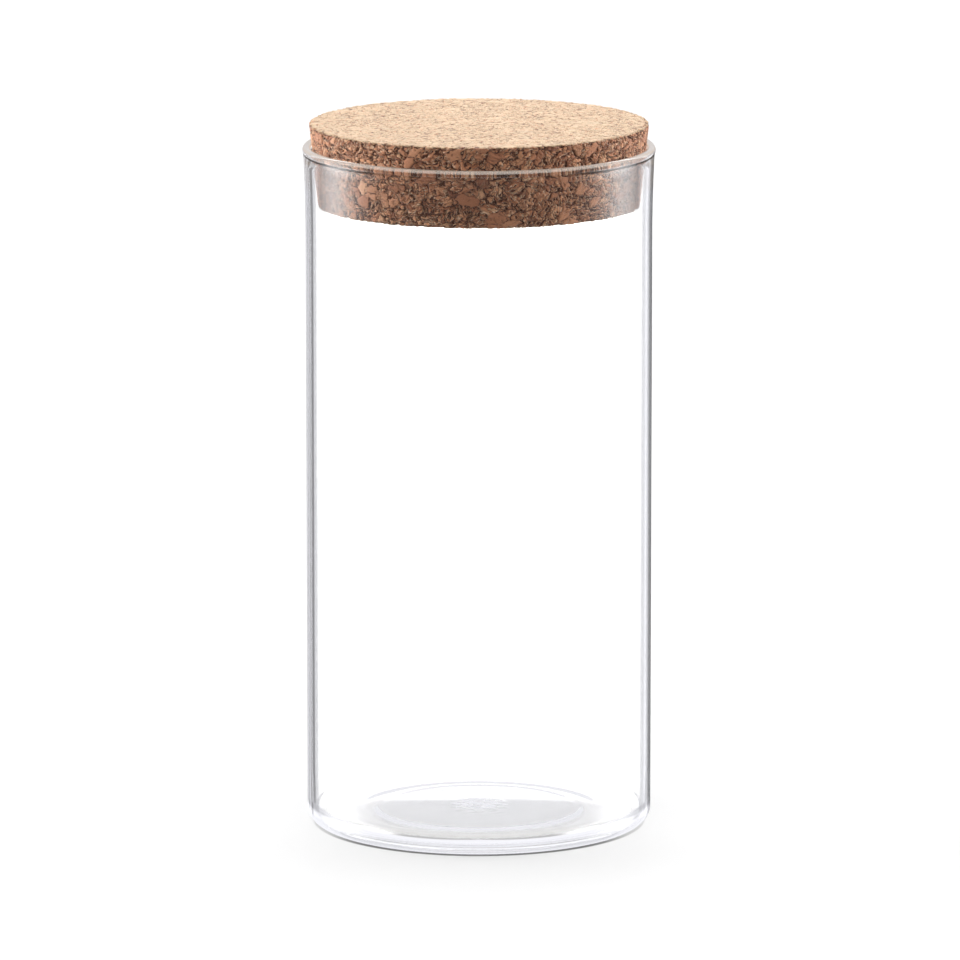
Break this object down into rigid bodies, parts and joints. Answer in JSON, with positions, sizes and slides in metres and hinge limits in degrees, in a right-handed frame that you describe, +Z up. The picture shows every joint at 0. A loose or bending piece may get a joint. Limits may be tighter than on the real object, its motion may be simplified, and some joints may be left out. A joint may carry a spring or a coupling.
{
  "type": "storage jar with cork stopper",
  "caption": "Tall straight-sided clear glass storage jar with a slightly flared rim and a tapered pressed-cork stopper that lifts out.",
  "frame": {"origin": "middle of the underside, at the height of the table that the jar stands on", "axes": "+Z up along the jar's axis, through the stopper; the jar is round, so +X and +Y are free"},
  "size_m": [0.1018, 0.1018, 0.2055],
  "materials": {
    "clear_glass": "gloss",
    "pressed_cork": "matte"
  },
  "bodies": {
    "jar": {"glass_jar": "clear_glass"},
    "stopper": {"cork_stopper": "pressed_cork"}
  },
  "joints": [
    {"name": "stopper_lift", "type": "slide", "parent": "jar", "child": "stopper", "axis": [0, 0, 1], "range_m": [0, 0.12]}
  ]
}
